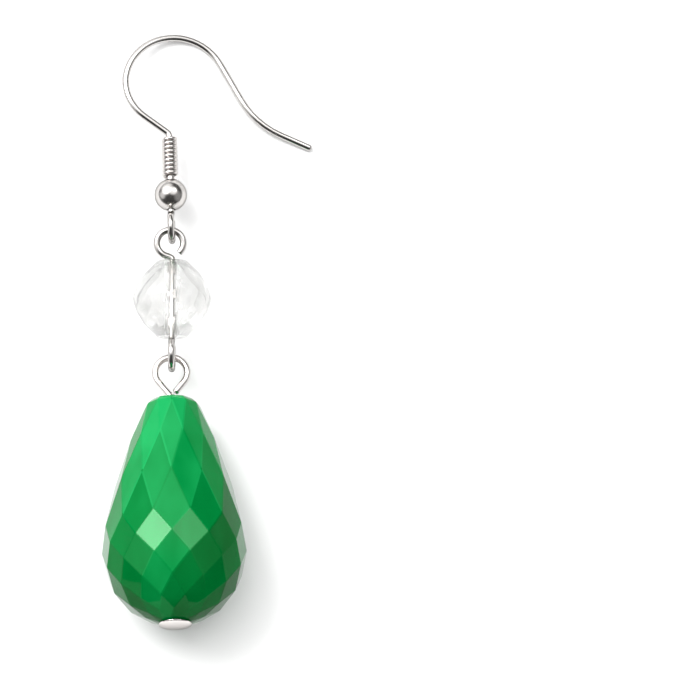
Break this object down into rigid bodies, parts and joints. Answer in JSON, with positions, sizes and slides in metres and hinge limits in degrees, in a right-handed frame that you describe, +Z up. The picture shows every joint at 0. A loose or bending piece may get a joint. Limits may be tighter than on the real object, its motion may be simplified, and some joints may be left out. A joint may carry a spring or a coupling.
{
  "type": "drop earring",
  "caption": "Silver-coloured ear hook with wound coil and ball, clear faceted bead on a double loop pin, and a green faceted glass drop on a head pin, lying on its back",
  "frame": {"origin": "middle of the footprint, on the table the earring lies on", "axes": "+Z up, +Y along the earring from the drop towards the ear hook, +X to the right in the picture"},
  "size_m": [0.021, 0.0624, 0.0142],
  "materials": {
    "silver": "polished silver-coloured wire, coil, ball and pin head",
    "clear_glass": "clear faceted glass, polished",
    "green_glass": "milky green faceted glass, polished"
  },
  "bodies": {
    "root": {"ear_hook": "silver", "hook_coil": "silver", "hook_ball": "silver", "link_pin": "silver", "crystal_bead": "clear_glass", "drop_pin": "silver", "drop_bead": "green_glass"}
  },
  "joints": []
}
